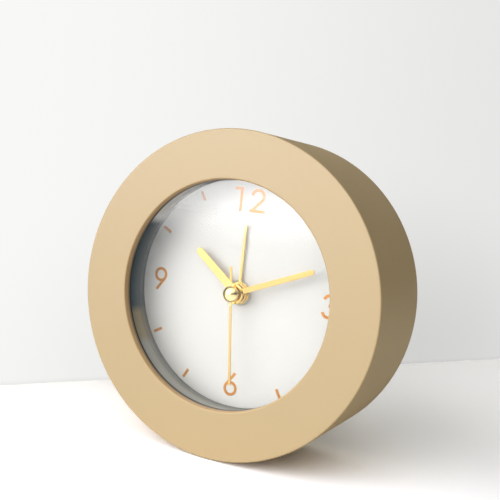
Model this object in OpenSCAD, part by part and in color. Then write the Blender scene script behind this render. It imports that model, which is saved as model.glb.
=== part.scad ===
// Round desk alarm clock: a drum case with a deep flat window, a quartz movement and four hands.
// The frame has X to the right, Z up and the face towards -Y. The clock stands on two feet at Z = 0.

/* [Case] */
// Outside diameter of the drum
case_d = 110; // [104:1:120]
// Depth of the drum from its face to its rear rim
case_depth = 40.5; // [38:0.5:46]
// Thickness of the flat front face
face_t = 2.9; // [1.6:0.1:3.2]
// Diameter of the opening in the face
opening_d = 76.8; // [70:0.2:78]
// Radius of the rounded edges
edge_r = 0.5; // [0.3:0.1:0.8]
// Thickness of the drum wall at the rear rim
rim_t = 2.2; // [1.8:0.1:2.6]
// Width of the step that the back cover sits on
ledge_w = 1.2; // [0.8:0.1:1.6]
// Depth from the rear rim to the back cover
rim_h = 4.0; // [3.8:0.1:4.6]
// Thickness of the back cover
cover_t = 2.0; // [1.8:0.1:2.2]
// Gap around the back cover
cover_gap = 0.2; // [0.1:0.05:0.3]

/* [Feet] */
// Distance of each foot from the middle line
foot_x = 6; // [5:0.5:9]
// Width of a foot
foot_w = 6; // [4:0.5:7]
// Length of a foot from front to back
foot_l = 28; // [20:1:30]
// Height of the drum above the table
foot_lift = 0.3; // [0.2:0.1:1]
// Least depth of the pocket that a foot is glued into
foot_pocket = 0.3; // [0.2:0.1:0.5]

/* [Window] */
// Thickness of the black gasket behind the face
gasket_t = 0.9; // [0.6:0.1:1.2]
// Thickness of the clear lens
lens_t = 1.6; // [1.2:0.1:2]
// How far the spacer ring stands back from the opening
ring_step = 1.4; // [0.9:0.1:1.6]
// Wall of the spacer ring
ring_t = 1.6; // [1:0.1:1.8]
// Gap around the lens and the spacer ring
window_gap = 0.15; // [0.1:0.05:0.3]
// Wall of the rib that centres them
rib_t = 1.5; // [1:0.1:1.8]

/* [Dial] */
// Thickness of the dial
dial_t = 0.4; // [0.3:0.1:0.6]
// Height of a numeral
numeral_h = 8.2; // [6:0.2:9]
// Width of the numeral strokes
stroke_w = 1.0; // [0.6:0.05:1.2]
// Gap between the numerals and the spacer ring
numeral_gap = 3.5; // [2.5:0.1:6]
// How much further out the 3 and the 9 stand than the 12 and the 6
side_shift = 0.65; // [0:0.05:1]
// How much higher the 3 and the 9 stand than the hand axis
side_lift = 0.4; // [0:0.05:1]
// Gap between the hour marks and the spacer ring
tick_gap = 1.2; // [0.6:0.1:3]
// Length of an hour mark
tick_l = 3.6; // [2:0.2:5]
// Width of an hour mark
tick_w = 1.0; // [0.6:0.1:1.4]
// Thickness of the foil that the numerals and marks are cut from
foil_t = 0.1; // [0.08:0.01:0.15]
// Thickness of the plate behind the dial
plate_t = 2.0; // [1.6:0.1:2.4]

/* [Hands] */
// Distance from the dial to the front of the alarm hand
hand_lift = 1.175; // [0.9:0.025:1.6]
// Gap between the cap and the lens
lens_gap = 0.55; // [0.5:0.025:1.5]
// Thickness of a hand
hand_t = 0.35; // [0.25:0.05:0.5]
// Length of the alarm hand from its centre
alarm_len = 23.5; // [16:0.5:28]
// Length of the hour hand from its centre
hour_len = 21.4; // [16:0.5:26]
// Length of the minute hand from its centre
minute_len = 30.8; // [24:0.5:34]
// Length of the second hand from its centre
second_len = 30.9; // [24:0.5:36]
// Length of the tail of the second hand
second_tail = 9.4; // [6:0.5:12]
// Width of the hour hand at its hub
hour_w = 3.1; // [2.4:0.1:4]
// Width of the minute hand
minute_w = 1.9; // [1.4:0.1:2.4]
// Width of the alarm hand at its hub
alarm_w = 1.05; // [0.7:0.05:1.5]
// Width of the second hand
second_w = 0.85; // [0.6:0.05:1.2]
// Diameter of the round hub of the alarm hand
hub_d = 7.8; // [7.2:0.2:9]
// Thickness of the hubs of the hour, minute and second hand
hub_t = 1.1; // [0.5:0.05:1.2]
// Diameter of the domed cap on the second hand
cap_d = 5.6; // [4.6:0.2:6.4]
// Height of the domed cap
cap_h = 1.7; // [1.2:0.1:1.8]
// Clockwise angle of the alarm hand
alarm_angle = 0.5; // [0:0.5:359]
// Clockwise angle of the hour hand
hour_angle = 308.5; // [0:0.5:359]
// Clockwise angle of the minute hand
minute_angle = 68; // [0:0.5:359]
// Clockwise angle of the second hand
second_angle = 174.3; // [0:0.1:359]

/* [Movement] */
// Gap between the movement and the back cover
move_gap = 0.4; // [0.2:0.05:0.8]
// Height of the movement above the hand axis
move_top = 21; // [20.8:0.1:22]
// Wall of the movement housing
move_wall = 1.2; // [1:0.05:1.3]
// Thickness of the middle plate
mid_t = 1.0; // [0.8:0.05:1.1]
// Depth of the middle plate behind the front plate
mid_offset = 4.6; // [4.5:0.05:4.7]
// Thickness of the thin gear wheels
wheel_t = 0.8; // [0.6:0.05:0.85]
// Radius of the long setting stems
stem_r = 1.25; // [1:0.05:1.4]
// Radius of the thin arbors
arbor_r = 0.5; // [0.4:0.05:0.6]
// Radial clearance of a running fit
run_gap = 0.07; // [0.05:0.01:0.09]

/* [Gears] */
// Distance of the third wheel from the hand axis
third_dist = 10.8; // [10.6:0.05:11]
// Distance of the intermediate wheel from the hand axis
inter_dist = 10.56; // [10.5:0.02:10.8]
// Distance of the rotor from the intermediate wheel
rotor_dist = 8.4; // [8.2:0.05:8.5]
// Distance of the minute wheel from the hand axis
minute_dist = 11.6; // [11.5:0.05:11.8]
// Distance of the alarm stem from the hand axis
alarm_dist = 12; // [11.8:0.05:12.2]

/* [Knobs] */
// Diameter of the two setting knobs
knob_d = 12; // [9:0.5:13]
// Height of a setting knob
knob_h = 3.2; // [2.4:0.1:3.3]
// Number of grip grooves around a knob
knob_grooves = 20; // [12:1:28]
// Travel of the alarm switch
switch_travel = 3; // [2:0.1:3.4]

/* [Battery] */
// Diameter of the AA cell
cell_d = 14.5; // [13.8:0.1:14.5]
// Length of the AA cell with its button
cell_l = 50.5; // [49.2:0.1:50.5]
// Room for a contact at each end of the cell
contact_room = 2.05; // [1.8:0.05:2.6]
// Gap between the cell and its bay
bay_gap = 0.65; // [0.4:0.05:0.7]
// Gap around the battery door
door_gap = 0.3; // [0.2:0.05:0.4]
// Radius of the hinge pins on the battery door
door_pin_r = 0.5; // [0.4:0.05:0.6]

/* [Hidden] */

// Number of steps in a full circle
round_n = 96;
fine_n = 48;
// Radii of the case and what it holds
case_r = case_d / 2;
opening_r = opening_d / 2;
rim_r = case_r - rim_t;
inner_r = rim_r - ledge_w;
ring_in_r = opening_r + ring_step;
lens_r = ring_in_r + ring_t;
rib_r = lens_r + window_gap;
dial_r = rib_r + rib_t + 0.15;
tick_r = ring_in_r - tick_gap;
numeral_r = ring_in_r - numeral_gap - numeral_h / 2;
plate_r = inner_r - 0.4;
centre_h = case_r + foot_lift;

// Depths behind the face of the window, from front to back
lens_front = face_t + gasket_t;
ring_front = lens_front + lens_t;
// Depths behind the face of cover, movement and dial, from back to front
cover_back = case_depth - rim_h;
cover_front = cover_back - cover_t;
move_back = cover_front - move_gap;
rear_wall_front = move_back - move_wall;
// The cell lies between the floor of its bay and the back of the movement, which sets the depth of both
bay_floor_t = 0.6;
cell_front_gap = 0.45;
cell_rear_gap = 0.25;
cell_depth = move_back - cell_rear_gap - cell_d / 2;
front_plate_back = move_back - cell_rear_gap - cell_d - cell_front_gap - bay_floor_t;
front_plate_t = move_wall;
move_front = front_plate_back - front_plate_t;
plate_front = move_front - plate_t;
dial_front = plate_front - dial_t;
mid_front = front_plate_back + mid_offset;
mid_back = mid_front + mid_t;

// Layers of the gears: alarm, hour, minute, then the running train behind the middle plate
layer_gap = 0.3;
alarm_layer = front_plate_back + layer_gap;
hour_layer = alarm_layer + wheel_t + 0.4;
minute_layer = hour_layer + wheel_t + 0.5;
centre_layer = mid_back + 0.4;
third_layer = centre_layer + wheel_t + wheel_t;
second_layer = third_layer + wheel_t + 0.7;
inter_layer = second_layer + wheel_t + 0.6;
stator_front = mid_back + 1.3;
stator_t = 1.0;

// Teeth: wheel, then pinion, of each pair
pinion_teeth = 8;
centre_teeth = 60;
third_teeth = 64;
second_teeth = 40;
inter_teeth = 48;
cannon_teeth = 12;
minute_teeth = 36;
minute_pinion_teeth = 10;
hour_teeth = 40;
alarm_teeth = 36;
alarm_pinion_teeth = 12;
// Share of the pitch that a tooth fills, and how its tip narrows
wheel_fill = 0.86;
wheel_tip = 0.35;
wheel_addendum = 0.95;
wheel_dedendum = 1.25;
pinion_fill = 0.72;
pinion_tip = 0.45;
pinion_addendum = 0.6;
pinion_dedendum = 1.3;
// How far a pinion stands past the wheel that it drives, on each side
pinion_over = 0.2;

// Directions of the axes as seen from the front, anticlockwise from the right
third_dir = 120;
inter_dir = 20;
rotor_dir = -20;
minute_dir = 215;
alarm_dir = -50;
third_at = third_dist * [cos(third_dir), sin(third_dir)];
inter_at = inter_dist * [cos(inter_dir), sin(inter_dir)];
rotor_at = inter_at + rotor_dist * [cos(rotor_dir), sin(rotor_dir)];
minute_at = minute_dist * [cos(minute_dir), sin(minute_dir)];
alarm_at = alarm_dist * [cos(alarm_dir), sin(alarm_dir)];

// Nested tubes that carry the hands, from the middle out
second_shaft_r = 0.6;
cannon_in_r = second_shaft_r + run_gap;
cannon_out_r = 1.55;
hour_in_r = cannon_out_r + run_gap;
hour_out_r = 2.35;
alarm_in_r = hour_out_r + run_gap;
alarm_out_r = 3.0;
nose_r = 4.2;
nose_gap = 0.15;
// The hands share the room between dial and lens
ring_h = dial_front - ring_front;
hand_step = (ring_h - hand_lift - cap_h - lens_gap) / 3;
// Front faces of the hands, and how far a tube stands proud of its hand
alarm_hand_front = dial_front - hand_lift;
hour_hand_front = alarm_hand_front - hand_step;
minute_hand_front = hour_hand_front - hand_step;
second_hand_front = minute_hand_front - hand_step;
hub_step = 0.15;
collet_h = 0.8 * hand_step;
collet_w = 0.75;

// Screws
screw_r = 1.3;
screw_head_r = 2.2;
screw_head_h = 1.4;
screw_core_r = 1.1;
screw_l = 8;
screw_fit = 0.15;
cover_screw_at = inner_r - screw_head_r;
cover_boss_r = screw_r + 1.3;
cover_screw_dirs = [35, 145, 215, 325];
counterbore_h = 1.0;
plate_screw_at = inner_r - screw_head_r - 0.3;
plate_boss_r = screw_r + 1.3;
boss_gap = 0.4;
plate_screw_n = 4;
plate_screw_l = 6;

// Battery bay below the gears
bay_top = -19.5;
bay_w = cell_d + 2 * bay_gap;
cell_y = bay_top - bay_w / 2;
move_bottom = bay_top - bay_w - move_wall;
button_l = 1.3;
button_r = 2.6;
contact_t = 0.4;
bay_half_l = cell_l / 2 + contact_room;
move_half_w = bay_half_l + move_wall;

// Battery door in the back cover, hung on two pins at its lower edge
door_half_w = bay_half_l + 0.3;
door_top = bay_top + 0.6;
door_hinge_y = cell_y - bay_w / 2 - 0.8;
door_t = 1.8;
door_mid = cover_front + cover_t / 2;
door_pin_l = 1.0;

// Electronics on the left of the movement, seen from the front
board_x0 = -move_half_w + move_wall + 0.4;
board_x1 = 11.1 - bay_half_l;
board_y0 = -13.5;
board_y1 = 18.2;
board_front = mid_back + 0.6;
board_t = 1.0;
board_back = board_front + board_t;
chip_at = [8.5 - bay_half_l, 0.9];
chip_r = 2.0;
crystal_at = [2.7 - bay_half_l, -2];
crystal_l = 6;
crystal_r = 1.0;
buzzer_at = [6.0 - bay_half_l, -7.2];
buzzer_r = 4.8;
buzzer_h = 6.2;
switch_at = [6.0 - bay_half_l, 10];
switch_lever_l = 3.0;
switch_lever_w = 1.8;
switch_h = 5.4;
switch_wall = 0.8;
slider_gap = 0.3;
slider_end = 0.9;
switch_box = [switch_lever_w + 4.6, switch_lever_l + switch_travel + 5.4];
switch_room = switch_box - [2, 2] * switch_wall;
slider_foot = switch_room - [2 * slider_gap, 2 * slider_end + switch_travel];
slider_pad = [switch_lever_w + 3.2, switch_lever_l + 1.4];
pad_groove = 0.5;

// Coil across the top right
coil_at = [bay_half_l - 11.7, 14.9];
coil_l = 15;
coil_r = 3.1;
coil_flange_r = 3.5;
coil_flange_t = 0.8;
core_w = 2.4;
mid_screws = [[2.9 - bay_half_l, -16.2], [bay_half_l - 2.9, -14], [-11.5, 14.5]];
mid_screw_r = 0.7;
mid_screw_head_r = 1.3;
mid_screw_l = 2.6;
mid_post_r = 1.6;
ear_r = 3.2;
ear_x = move_half_w + ear_r;
ear_y = -6;
ear_t = 2.0;
ear_lift = 3.4;
ear_front = move_front + ear_lift;
ear_thread_l = 3;

// Turns the flat working frame, X right and Y up with Z towards the viewer, upright on its feet
module upright() {
  translate([0, 0, centre_h]) rotate([90, 0, 0]) children();
}

// A flat outline between two depths behind the face
module slab(front, back) {
  translate([0, 0, case_depth / 2 - back]) linear_extrude(back - front) children();
}

// A turned piece whose profile has the radius along X and the depth along Y
module turned() {
  translate([0, 0, case_depth / 2]) mirror([0, 0, 1]) rotate_extrude($fn = round_n) children();
}

module ring_2d(outer, inner) {
  difference() {
    circle(outer, $fn = round_n);
    circle(inner, $fn = round_n);
  }
}

// Hole or peg of a radius at a place, between two depths
module peg(at, r, front, back) {
  slab(front, back) translate(at) circle(r, $fn = fine_n);
}

// What is cut from a square corner to round it, with the corner at the origin and the body in +X +Y
module corner_cut(r) {
  difference() {
    translate([-r, -r]) square(2 * r);
    translate([r, r]) circle(r, $fn = fine_n);
    translate([0, r]) square(r);
    translate([r, 0]) square(r);
  }
}

function polar(r, a) = [r * cos(a), r * sin(a)];

// Outline of a gear with a tooth centred on the angle turn
function gear_points(teeth, pitch_r, addendum, dedendum, fill, tip, turn) =
  let (m = 2 * pitch_r / teeth, half = 90 / teeth * fill)
  let (root_r = pitch_r - dedendum * m, tip_r = pitch_r + addendum * m)
  [for (i = [0:teeth - 1])
    let (a = turn + i * 360 / teeth)
    each [
      polar(root_r, a - half), polar(pitch_r, a - half), polar(tip_r, a - half * tip),
      polar(tip_r, a + half * tip), polar(pitch_r, a + half), polar(root_r, a + half)
    ]];

// Large gear with a tooth pointing in the direction toward
module wheel_2d(teeth, mate_teeth, distance, toward) {
  pitch_r = distance * teeth / (teeth + mate_teeth);
  polygon(gear_points(teeth, pitch_r, wheel_addendum, wheel_dedendum, wheel_fill, wheel_tip, toward));
}

// Small gear with a gap pointing in the direction toward
module pinion_2d(teeth, mate_teeth, distance, toward) {
  pitch_r = distance * teeth / (teeth + mate_teeth);
  polygon(gear_points(teeth, pitch_r, pinion_addendum, pinion_dedendum, pinion_fill, pinion_tip,
    toward + 180 / teeth));
}

// A pan head screw that points to the front, with the underside of its head at a depth
module screw(at, head_depth, length) {
  difference() {
    union() {
      peg(at, screw_head_r, head_depth, head_depth + screw_head_h);
      peg(at, screw_core_r, head_depth - length, head_depth + 0.2);
    }
    for (a = [0, 90])
      slab(head_depth + 0.6, head_depth + screw_head_h + 0.1)
        translate(at) rotate(a) square([2.6, 0.6], center = true);
  }
}

module case_profile() {
  difference() {
    union() {
      translate([opening_r, 0]) square([case_r - opening_r, face_t]);
      translate([inner_r, 0]) square([case_r - inner_r, cover_front]);
      translate([rim_r, 0]) square([rim_t, case_depth]);
      translate([rib_r, 0]) square([rib_t, dial_front - 0.1]);
    }
    translate([opening_r, 0]) corner_cut(edge_r);
    translate([case_r, 0]) mirror([1, 0]) corner_cut(edge_r);
    translate([case_r, case_depth]) rotate(180) corner_cut(edge_r);
  }
}

cover_screws = [for (dir = cover_screw_dirs) polar(cover_screw_at, dir)];
plate_screws = [for (i = [0:plate_screw_n - 1]) polar(plate_screw_at, i * 360 / plate_screw_n)];

// Plane of the pockets that the feet are glued into
foot_top = sqrt(pow(case_r, 2) - pow(foot_x + foot_w / 2, 2)) - foot_pocket;

module foot_block(side, length, width) {
  slab(case_depth / 2 - length / 2, case_depth / 2 + length / 2)
    translate([side * foot_x - width / 2, -centre_h]) square([width, centre_h - foot_top]);
}

module case_shell() {
  color("burlywood") upright() difference() {
    union() {
      turned() case_profile();
      for (at = cover_screws) peg(at, cover_boss_r, face_t - 0.1, cover_front);
      for (at = plate_screws) peg(at, plate_boss_r, face_t - 0.1, plate_front);
    }
    for (at = cover_screws) peg(at, screw_core_r, cover_front - screw_l, cover_front + 0.1);
    for (at = plate_screws) peg(at, screw_core_r, plate_front - plate_screw_l, plate_front + 0.1);
    for (side = [-1, 1]) foot_block(side, foot_l + 0.2, foot_w + 0.2);
  }
}

module feet() {
  color("dimgray") upright() for (side = [-1, 1]) foot_block(side, foot_l, foot_w);
}

module lens_gasket() {
  color("black") upright() slab(face_t, lens_front) ring_2d(lens_r, opening_r);
}

module lens() {
  color("white", 0.3) upright() slab(lens_front, ring_front) circle(lens_r, $fn = round_n);
}

module spacer_ring() {
  color("gray") upright() slab(ring_front, dial_front) ring_2d(lens_r, ring_in_r);
}

module dial() {
  color("white") upright() difference() {
    slab(dial_front, plate_front) ring_2d(dial_r, nose_r + nose_gap);
    for (at = plate_screws) peg(at, plate_boss_r + boss_gap, dial_front - 1, plate_front + 1);
    for (at = cover_screws) peg(at, cover_boss_r + boss_gap, dial_front - 1, plate_front + 1);
  }
}

// Part of a ring from one angle to another, the stroke of a curved figure
module arc_2d(r, from, to) {
  steps = 12;
  far = 2 * r;
  intersection() {
    ring_2d(r + stroke_w / 2, r - stroke_w / 2);
    polygon([[0, 0], for (i = [0:steps]) polar(far, from + (to - from) * i / steps)]);
  }
}

// A straight stroke between two points, with square ends
module bar_2d(a, b) {
  d = b - a;
  translate(a) rotate(atan2(d[1], d[0])) translate([0, -stroke_w / 2]) square([norm(d), stroke_w]);
}

// Figures in their own frame, with the foot of the figure at Y = 0
bowl_r = numeral_h * 0.32 - stroke_w / 2;
module figure_6() {
  // The stem is tangent to the left of the bowl and leans to the right
  top = [numeral_h * 0.17, numeral_h - bowl_r - stroke_w / 2];
  touch = polar(bowl_r, atan2(top[1], top[0]) + acos(bowl_r / norm(top)));
  translate([0, bowl_r + stroke_w / 2]) {
    ring_2d(bowl_r + stroke_w / 2, bowl_r - stroke_w / 2);
    bar_2d(touch, top);
  }
}

module figure_9() {
  translate([0, numeral_h]) rotate(180) figure_6();
}

module figure_3() {
  upper_r = (numeral_h - stroke_w) * 0.23;
  lower_r = (numeral_h - stroke_w) / 2 - upper_r;
  open = 170;
  translate([0, numeral_h - upper_r - stroke_w / 2]) arc_2d(upper_r, -90, open);
  translate([0, lower_r + stroke_w / 2]) arc_2d(lower_r, -open, 90);
}

module figure_1() {
  flag_l = numeral_h * 0.244;
  translate([-stroke_w / 2, 0]) square([stroke_w, numeral_h]);
  translate([-stroke_w / 2 - flag_l, numeral_h - stroke_w]) square([flag_l + stroke_w / 2, stroke_w]);
}

module figure_2() {
  hook_r = numeral_h * 0.327 - stroke_w / 2;
  hook_y = numeral_h - hook_r - stroke_w / 2;
  hook_end = -38;
  base_l = numeral_h * 0.68;
  foot = [stroke_w * 0.7 - base_l / 2, stroke_w / 2];
  translate([0, hook_y]) arc_2d(hook_r, hook_end - 2, 175);
  bar_2d(foot, [0, hook_y] + polar(hook_r, hook_end));
  translate([-base_l / 2, 0]) square([base_l, stroke_w]);
}

// Puts a figure with its middle at an hour, on the numeral circle or a little outside or above it
module at_hour(hour, shift = 0, lift = 0) {
  translate(polar(numeral_r + shift, 90 - hour * 30) + [0, lift - numeral_h / 2]) children();
}

module dial_numerals() {
  color("peru") upright() slab(dial_front - foil_t, dial_front) {
    at_hour(12) {
      translate([-numeral_h * 0.397, 0]) figure_1();
      translate([numeral_h * 0.385, 0]) figure_2();
    }
    at_hour(3, side_shift, side_lift) figure_3();
    at_hour(6) figure_6();
    at_hour(9, side_shift, side_lift) figure_9();
  }
}

module dial_ticks() {
  color("peru") upright() slab(dial_front - foil_t, dial_front)
    for (hour = [1:11]) if (hour % 3 != 0)
      rotate(90 - hour * 30) translate([tick_r - tick_l, -tick_w / 2]) square([tick_l, tick_w]);
}

module dial_plate() {
  color("ivory") upright() difference() {
    union() {
      slab(plate_front, move_front) circle(plate_r, $fn = round_n);
      for (side = [-1, 1]) peg([side * ear_x, ear_y], ear_r - 0.5, plate_front + 0.5, ear_front);
    }
    peg([0, 0], nose_r + nose_gap, plate_front - 1, move_front + 1);
    for (at = plate_screws) peg(at, screw_core_r + screw_fit, plate_front - 1, move_front + 1);
    for (at = cover_screws) peg(at, cover_boss_r + boss_gap, plate_front - 1, move_front + 1);
    for (side = [-1, 1]) peg([side * ear_x, ear_y], screw_core_r, plate_front + 1, ear_front + 1);
  }
}

module dial_plate_screws() {
  color("silver") upright() for (at = plate_screws) screw(at, move_front, plate_screw_l);
}

module movement_screws() {
  color("silver") upright()
    for (side = [-1, 1]) screw([side * ear_x, ear_y], ear_front + ear_t, ear_t + ear_thread_l);
}

// Outline of the movement
module move_2d(inset) {
  translate([-move_half_w + inset, move_bottom + inset])
    square([2 * (move_half_w - inset), move_top - move_bottom - 2 * inset]);
}

module movement_front_plate() {
  color("whitesmoke") upright() difference() {
    union() {
      slab(move_front, front_plate_back) move_2d(0);
      peg([0, 0], nose_r, dial_front + 0.1, front_plate_back);
      for (at = mid_screws) peg(at, mid_post_r, move_front + 0.1, mid_front);
    }
    peg([0, 0], alarm_out_r + run_gap, dial_front, front_plate_back + 1);
    for (at = [minute_at, alarm_at]) peg(at, pivot_r + run_gap, pivot_front - 0.1, front_plate_back + 1);
    for (at = mid_screws) peg(at, mid_screw_r, mid_front - mid_screw_l - 0.4, mid_front + 1);
  }
}

// Pivots at the ends of the stems and arbors
pivot_r = 0.8;
pivot_front = front_plate_back - 0.9;
rear_pivot = rear_wall_front + 0.8;
mid_pivot = mid_front + 0.2;

module movement_mid_plate() {
  coil_cut = [coil_l + 2 * coil_flange_t + 1.6, 2 * coil_flange_r + 1.2];
  color("whitesmoke") upright() difference() {
    union() {
      slab(mid_front, mid_back) translate([-bay_half_l + 0.4, bay_top + move_wall + 0.4])
        square([2 * bay_half_l - 0.8, move_top - bay_top - 2 * move_wall - 0.8]);
      // Posts under the circuit board and under the stator
      for (at = [[board_x0 + 2, board_y0 + 1.6], [board_x0 + 2, board_y1 - 1.6]])
        peg(at, 1.2, mid_back - 0.1, board_front);
      for (at = stator_posts) peg(at, 1.2, mid_back - 0.1, stator_front);
      peg([leaf_x, leaf_y], 1.5, leaf_back, mid_front + 0.1);
    }
    peg([0, 0], cannon_out_r + run_gap, mid_front - 1, mid_back + 1);
    for (at = [minute_at, alarm_at]) peg(at, stem_r + run_gap, mid_front - 1, mid_back + 1);
    for (at = [third_at, inter_at, rotor_at]) peg(at, arbor_r + run_gap, mid_pivot - 0.1, mid_back + 1);
    for (at = mid_screws) peg(at, mid_screw_r + 0.1, mid_front - 1, mid_back + 1);
    slab(mid_front - 1, mid_back + 1) translate(coil_at) square(coil_cut, center = true);
  }
}

module mid_plate_screws() {
  color("silver") upright() for (at = mid_screws) {
    peg(at, mid_screw_head_r, mid_back, mid_back + 0.5);
    peg(at, mid_screw_r, mid_front - mid_screw_l, mid_back + 0.2);
  }
}

module movement_housing() {
  color("whitesmoke") upright() difference() {
    union() {
      slab(front_plate_back, move_back) move_2d(0);
      for (side = [-1, 1]) slab(ear_front, ear_front + ear_t) {
        translate([side * ear_x, ear_y]) circle(ear_r, $fn = fine_n);
        translate([side * (ear_x - ear_r / 2 - 0.8), ear_y])
          square([ear_r + 1.6, 2 * ear_r], center = true);
      }
    }
    // Gear room, open to the front
    slab(front_plate_back - 1, rear_wall_front) translate([-bay_half_l, bay_top + move_wall])
      square([2 * bay_half_l, move_top - bay_top - 2 * move_wall]);
    // Battery bay, open to the back
    slab(front_plate_back + bay_floor_t, move_back + 1) translate([-bay_half_l, bay_top - bay_w])
      square([2 * bay_half_l, bay_w]);
    for (side = [-1, 1])
      peg([side * ear_x, ear_y], screw_core_r + screw_fit, ear_front - 1, ear_front + ear_t + 1);
    for (at = [third_at, inter_at, rotor_at, [0, 0]])
      peg(at, (at == [0, 0] ? second_shaft_r : arbor_r) + run_gap, rear_wall_front - 1, rear_pivot + 0.1);
    for (at = [minute_at, alarm_at]) peg(at, stem_r + run_gap, rear_wall_front - 1, move_back + 1);
    sound_holes(rear_wall_front - 1, move_back + 1);
    switch_slot(rear_wall_front - 1, move_back + 1);
    // Ways for the contact tails through the bay wall
    slab(strip_front - 0.2, strip_back + 0.2) {
      translate([bay_half_l - 1.6, bay_top - 1]) square([1.6, move_wall + 2]);
      translate([-bay_half_l, bay_top - 1]) square([1.6, move_wall + 2]);
    }
  }
}

module sound_holes(front, back) {
  peg(buzzer_at, 0.7, front, back);
  for (i = [0:5]) peg(buzzer_at + polar(2.6, i * 60), 0.7, front, back);
}

module switch_slot(front, back) {
  slab(front, back) translate(switch_at)
    square([switch_lever_w + 0.6, switch_lever_l + switch_travel + 0.6], center = true);
}

module circuit_board() {
  color("darkgreen") upright() difference() {
    slab(board_front, board_back) translate([board_x0, board_y0])
      square([board_x1 - board_x0, board_y1 - board_y0]);
    peg([board_x1 - 1.8, board_y0 + 1.6], 0.6, board_front - 1, board_back + 1);
  }
}

module clock_chip() {
  color("black") upright() peg(chip_at, chip_r, board_back, board_back + 1.2);
}

// Watch crystal in its can, lying along the board
module quartz_crystal() {
  crystal_depth = board_back + crystal_r + 0.05;
  color("silver") upright() translate([crystal_at[0], crystal_at[1], case_depth / 2 - crystal_depth])
    rotate([-90, 0, 0]) cylinder(h = crystal_l, r = crystal_r, $fn = fine_n);
}

module buzzer() {
  color("black") upright() difference() {
    peg(buzzer_at, buzzer_r, board_back, board_back + buzzer_h);
    peg(buzzer_at, 1.2, board_back + buzzer_h - 1, board_back + buzzer_h + 1);
  }
}

// Box of the slide switch, open to the back for its slider
module switch_body() {
  color("black") upright() difference() {
    slab(board_back, board_back + switch_h) translate(switch_at) square(switch_box, center = true);
    slab(board_back + 1, board_back + switch_h - switch_wall) translate(switch_at)
      square(switch_room, center = true);
    switch_slot(board_back + switch_h - 2, board_back + switch_h + 1);
  }
}

// Slider with its foot in the switch box and its thumb pad behind the back cover, at its upper stop
module alarm_switch_slider() {
  pad_h = rim_h - 1.2;
  at = switch_at + [0, switch_travel / 2];
  color("black") upright() {
    slab(board_back + 1.3, board_back + switch_h - 1.1) translate(at) square(slider_foot, center = true);
    slab(board_back + switch_h - 1.2, cover_back + 0.4) translate(at)
      square([switch_lever_w, switch_lever_l], center = true);
    difference() {
      slab(cover_back + 0.3, cover_back + pad_h) translate(at) square(slider_pad, center = true);
      for (step = [-1:1]) slab(cover_back + pad_h - 0.4, cover_back + pad_h + 1)
        translate(at + [0, step * slider_pad[1] / 4])
          square([slider_pad[0] + 1, pad_groove], center = true);
    }
  }
}

// Laminated stator: a yoke round the rotor with two arms up to the ends of the coil core
stator_posts = [[rotor_at[0] - 4.6, rotor_at[1] - 2.4], [rotor_at[0] + 4.6, rotor_at[1] - 2.4]];
module stator() {
  x = rotor_at[0];
  y = rotor_at[1];
  core_end = coil_l / 2 + coil_flange_t + 2.4;
  left = coil_at[0] - core_end;
  right = coil_at[0] + core_end;
  low = coil_at[1] - core_w / 2;
  high = coil_at[1] + core_w / 2;
  flange_low = coil_at[1] - coil_flange_r - 0.3;
  arm_w = 2.2;
  yoke_w = magnet_r + 3.6;
  yoke_top = magnet_r + 3.5;
  slot_w = magnet_r + 1.2;
  color("slategray") upright() difference() {
    slab(stator_front, stator_front + stator_t)
      polygon([[x - yoke_w, y + 2 - yoke_w], [x + yoke_w, y + 2 - yoke_w], [right, y + yoke_w - 1],
        [right, high], [left, high], [left, flange_low - 1.2], [x - yoke_w, y + yoke_w - 2.6]]);
    slab(stator_front - 1, stator_front + stator_t + 1)
      polygon([[x - slot_w, y + yoke_top], [x + slot_w, y + yoke_top], [right - arm_w, y + yoke_top + 1.1],
        [right - arm_w, low], [left + arm_w, low], [left + arm_w, flange_low]]);
    peg(rotor_at, magnet_r + 0.4, stator_front - 1, stator_front + stator_t + 1);
  }
}

module coil_bobbin() {
  color("ivory") upright() along_coil() difference() {
    union() {
      cylinder(h = coil_l + 2 * coil_flange_t, r = 1.9, center = true, $fn = fine_n);
      for (side = [-1, 1]) translate([0, 0, side * (coil_l + coil_flange_t) / 2])
        cylinder(h = coil_flange_t, r = coil_flange_r, center = true, $fn = fine_n);
    }
    cube([stator_t, core_w, coil_l * 2], center = true);
  }
}

module coil_winding() {
  color("chocolate") upright() along_coil() difference() {
    cylinder(h = coil_l, r = coil_r, center = true, $fn = fine_n);
    cylinder(h = coil_l + 1, r = 1.9, center = true, $fn = fine_n);
  }
}

module along_coil() {
  translate([coil_at[0], coil_at[1], case_depth / 2 - stator_front - stator_t / 2])
    rotate([0, 90, 0]) children();
}

magnet_r = 2.4;
module rotor_magnet() {
  color("dimgray") upright() slab(stator_front - 0.4, stator_front + stator_t + 0.4)
    translate(rotor_at) ring_2d(magnet_r, arbor_r);
}

module rotor_pinion() {
  color("white") upright() {
    slab(inter_layer - pinion_over, inter_layer + wheel_t + pinion_over) translate(rotor_at)
      pinion_2d(pinion_teeth, inter_teeth, rotor_dist, rotor_dir + 180);
    arbor(rotor_at, arbor_r);
  }
}

// Thin arbor with its pivots in the middle plate and the rear wall
module arbor(at, r) {
  peg(at, r, mid_pivot, rear_pivot);
}

module intermediate_wheel() {
  color("white") upright() {
    slab(inter_layer, inter_layer + wheel_t) translate(inter_at)
      wheel_2d(inter_teeth, pinion_teeth, rotor_dist, rotor_dir);
    slab(second_layer - pinion_over, inter_layer + 0.1) translate(inter_at)
      pinion_2d(pinion_teeth, second_teeth, inter_dist, inter_dir + 180);
    arbor(inter_at, arbor_r);
  }
}

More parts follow.
